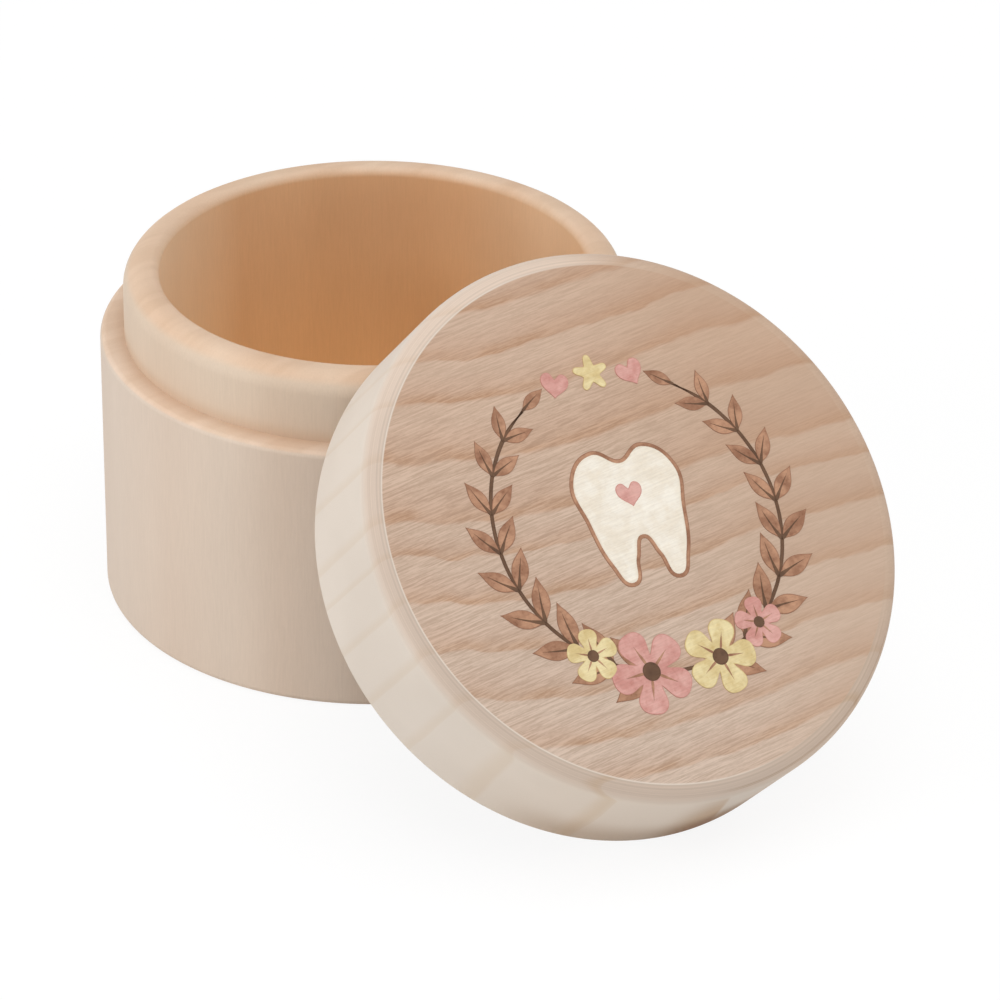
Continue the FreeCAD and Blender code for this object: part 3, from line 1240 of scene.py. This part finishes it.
@dataclass
class LidPrint:
    """A milk tooth in an open wreath of leaves and blossoms on the lid. Lengths are in millimetres."""

    lid: Lid
    turn: float = math.radians(-5.7)
    wreath_radius: float = 13.6
    gap: float = math.radians(64)
    stem_width: float = 0.34
    stem_steps: int = 24
    leaf_pairs: int = 10
    leaf_start: float = 0.9
    leaf_sizes: Span = (4.9, 3.0)
    leaf_spread: float = math.radians(38)
    blossoms: tuple[Blossom, ...] = (
        Blossom(Ink.ROSE, math.radians(256), 7.6), Blossom(Ink.STRAW, math.radians(285), 6.8),
        Blossom(Ink.STRAW, math.radians(233), 4.8), Blossom(Ink.ROSE, math.radians(307), 4.6))
    middle_share: float = 0.22
    tooth_size: float = 12.6
    tooth_place: Place = (0.0, 0.6)
    tooth_line: float = 0.36
    tooth_heart: Mark = Motif.HEART.mark(2.5, 0.0, (0.0, 2.4))
    gap_star: float = 3.4
    gap_heart: float = 2.6
    gap_step: float = math.radians(16)
    thickness: float = 0.02

    def stem(self) -> Mark:
        """Draw the wreath's ring, which tapers to a point at each end of the gap.

        Returns:
            The mark of the stem.
        """
        first, last = math.pi / 2 + self.gap / 2, 5 * math.pi / 2 - self.gap / 2
        angles = [first + (last - first) * step / self.stem_steps for step in range(1, self.stem_steps)]
        outer = [Knot(*polar(self.wreath_radius + self.stem_width / 2, angle)) for angle in angles]
        inner = [Knot(*polar(self.wreath_radius - self.stem_width / 2, angle)) for angle in angles]
        tips = [Knot(*polar(self.wreath_radius, angle), True) for angle in (first, last)]
        return Mark((tips[0], *outer, tips[1], *reversed(inner)))

    def leaves(self, motif: Motif) -> list[Mark]:
        """Set leaves in pairs from the bottom of the wreath to its ends, where one stands alone.

        Args:
            motif: the leaf, or what lies on it.

        Returns:
            One mark for each leaf.
        """
        marks = []
        sweep = math.pi - self.gap / 2
        for hand in (-1, 1):
            for step in range(self.leaf_pairs):
                share = (step + self.leaf_start) / self.leaf_pairs
                angle = -math.pi / 2 + hand * sweep * share
                along = angle + hand * math.pi / 2
                size = self.leaf_sizes[0] + (self.leaf_sizes[1] - self.leaf_sizes[0]) * share
                spreads = (0.0,) if step == self.leaf_pairs - 1 else (-self.leaf_spread, self.leaf_spread)
                foot = polar(self.wreath_radius, angle)
                marks += [motif.mark(size, along + spread, foot) for spread in spreads]
        return marks

    def petals(self, ink: Ink) -> list[Mark]:
        """Return every blossom of one ink."""
        return [Motif.BLOSSOM.mark(blossom.size, blossom.angle, polar(self.wreath_radius, blossom.angle))
                for blossom in self.blossoms if blossom.ink is ink]

    def creases(self) -> list[Mark]:
        """Return a short crease on each petal."""
        return [Motif.CREASE.mark(blossom.size, blossom.angle + math.tau * petal / 5,
                                  polar(self.wreath_radius, blossom.angle))
                for blossom in self.blossoms for petal in range(5)]

    def middles(self) -> list[Mark]:
        """Return the round middle of every blossom."""
        return [Motif.DOT.mark(self.middle_share * blossom.size, 0.0,
                               polar(self.wreath_radius, blossom.angle)) for blossom in self.blossoms]

    def layers(self) -> list[InkLayer]:
        """Plan the print.

        Returns:
            Its layers, from the lowest to the highest.
        """
        lift, top = self.thickness, math.pi / 2
        tooth = Motif.TOOTH.mark(self.tooth_size, 0.0, self.tooth_place)
        star = Motif.STAR.mark(self.gap_star, 0.0, polar(self.wreath_radius, top))
        hearts = [Motif.HEART.mark(self.gap_heart, -hand * self.gap_step,
                                   polar(self.wreath_radius, top + hand * self.gap_step)) for hand in (-1, 1)]
        return [
            InkLayer("print_stem", Ink.BARK, [self.stem()], lift),
            InkLayer("print_leaves", Ink.LEAF_BROWN, self.leaves(Motif.LEAF), 2 * lift),
            InkLayer("print_veins", Ink.BARK, self.leaves(Motif.VEIN), 2.5 * lift, rim_width=0.02),
            InkLayer("print_tooth_line", Ink.LEAF_BROWN, [tooth], lift, spread=self.tooth_line),
            InkLayer("print_tooth", Ink.CREAM, [tooth], 2 * lift, rim_width=0.35),
            InkLayer("print_rose", Ink.ROSE, [*self.petals(Ink.ROSE), *hearts, self.tooth_heart], 3 * lift),
            InkLayer("print_straw", Ink.STRAW, [*self.petals(Ink.STRAW), star], 3.5 * lift),
            InkLayer("print_creases", Ink.LEAF_BROWN, self.creases(), 4 * lift, rim_width=0.01),
            InkLayer("print_middles", Ink.BARK, self.middles(), 4.5 * lift),
        ]

    def build(self, fibre: Tree) -> None:
        """Print every layer on the lid.

        Args:
            fibre: the fibre group.
        """
        wash = InkWash(self.lid, fibre)
        materials = {ink: wash.build(ink) for ink in Ink}
        for layer in self.layers():
            piece = layer.build(self.lid, self.turn)
            piece.data.materials.append(materials[layer.ink])
            log.info("%s: %d marks, rides %s", layer.name, len(layer.marks), self.lid.body)


class LampRole(Enum):
    """What each soft lamp is for."""

    KEY = "key_light"
    TOP = "top_light"
    FILL = "fill_light"


@dataclass(frozen=True)
class Lamp:
    """One soft square lamp that looks at the box."""

    role: LampRole
    place: Triple
    size: float
    power: float

    def build(self, target: Vector) -> None:
        """Hang the lamp and turn it to a point.

        Args:
            target: what the lamp looks at.
        """
        data = bpy.data.lights.new(self.role.value, "AREA")
        data.size = self.size
        data.energy = self.power
        lamp = bpy.data.objects.new(self.role.value, data)
        lamp.location = self.place
        lamp.rotation_euler = (target - Vector(self.place)).to_track_quat("-Z", "Y").to_euler()
        bpy.context.scene.collection.objects.link(lamp)


@dataclass(frozen=True)
class Studio:
    """The white table, the light and the camera at the photograph's place."""

    floor_size: float = 4.0
    floor_colour: float = 0.72
    floor_white: float = 0.82
    floor_glow: float = 1.08
    world_light: float = 0.47
    camera_place: Triple = (-218.48 * MM, -358.29 * MM, 243.42 * MM)
    heading: float = math.radians(32.977)
    pitch: float = math.radians(29.361)
    roll: float = math.radians(0.687)
    lens: float = 185.78
    near_clip: float = 1 * MM
    lamps: tuple[Lamp, ...] = (
        Lamp(LampRole.KEY, (-0.71, 0.1, 0.16), 0.45, 2.5),
        Lamp(LampRole.TOP, (0.0, -0.15, 0.8), 0.8, 3.2),
        Lamp(LampRole.FILL, (0.1, -0.8, 0.12), 0.6, 1.6),
    )

    def build(self, target: Vector) -> None:
        """Set up the whole studio.

        Args:
            target: the middle of the object.
        """
        self.build_floor()
        self.build_world()
        for lamp in self.lamps:
            lamp.build(target)
        self.build_camera()
        bpy.context.scene.view_settings.view_transform = "Standard"

    def seen_white(self, bench: NodeBench) -> Socket:
        """Find the rays that show a background: to the camera, in gloss and through glass.

        Args:
            bench: where the nodes go.

        Returns:
            A number that is 1 on those rays.
        """
        path = bench.node("LightPath").outputs
        seen = bench.math("MAXIMUM", path["Is Camera Ray"], path["Is Glossy Ray"])
        return bench.math("MAXIMUM", seen, path["Is Transmission Ray"])

    def build_floor(self) -> None:
        """Lay the table top, which looks white but still takes a soft shadow."""
        bpy.ops.object.select_all(action="DESELECT")
        bpy.ops.mesh.primitive_plane_add(size=self.floor_size)
        floor = bpy.context.object
        floor.name = "table"
        material = bpy.data.materials.new("table_white")
        material.use_nodes = True
        bench = NodeBench(material.node_tree)
        material.node_tree.nodes.remove(material.node_tree.nodes["Principled BSDF"])
        grey = self.floor_colour
        matte = bench.node("BsdfDiffuse", {"Color": (grey, grey, grey, 1.0)}).outputs[0]
        glow = bench.node("Emission", {"Strength": self.floor_glow}).outputs[0]
        share = bench.math("MULTIPLY", self.seen_white(bench), self.floor_white)
        both = bench.node("MixShader", {0: share, 1: matte, 2: glow}).outputs[0]
        bench.feed(material.node_tree.nodes["Material Output"].inputs["Surface"], both)
        floor.data.materials.append(material)
        floor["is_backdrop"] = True

    def build_world(self) -> None:
        """Light the room evenly, and show it as white."""
        world = bpy.data.worlds.new("white_room")
        world.use_nodes = True
        bpy.context.scene.world = world
        bench = NodeBench(world.node_tree)
        background = world.node_tree.nodes["Background"]
        background.inputs["Color"].default_value = (1.0, 1.0, 1.0, 1.0)
        strength = bench.span(self.seen_white(bench), 0.0, 1.0, self.world_light, 1.0, smooth=False)
        bench.feed(background.inputs["Strength"], strength)

    def build_camera(self) -> None:
        """Stand the camera where the photograph was taken."""
        data = bpy.data.cameras.new("camera")
        data.lens = self.lens
        data.clip_start = self.near_clip
        camera = bpy.data.objects.new("camera", data)
        camera.matrix_world = (Matrix.Translation(self.camera_place) @ Matrix.Rotation(-self.heading, 4, "Z")
                               @ Matrix.Rotation(math.pi / 2 - self.pitch, 4, "X")
                               @ Matrix.Rotation(self.roll, 4, "Z"))
        bpy.context.scene.collection.objects.link(camera)
        bpy.context.scene.camera = camera


def main() -> None:
    """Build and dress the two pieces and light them."""
    logging.basicConfig(level=logging.INFO, format="%(name)s: %(message)s")
    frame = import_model()
    cad_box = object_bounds()
    fibre = Fibre().build()
    cup = Cup()
    lid = Lid(pose=Pose.from_node(frame["nodes"]["lid"]))
    for piece in (cup, lid):
        piece.build()
        piece.dress(fibre)
    LidPrint(lid).build(fibre)
    low, high = cad_box
    Studio().build((Vector(low) + Vector(high)) / 2)


if __name__ == "__main__":
    main()
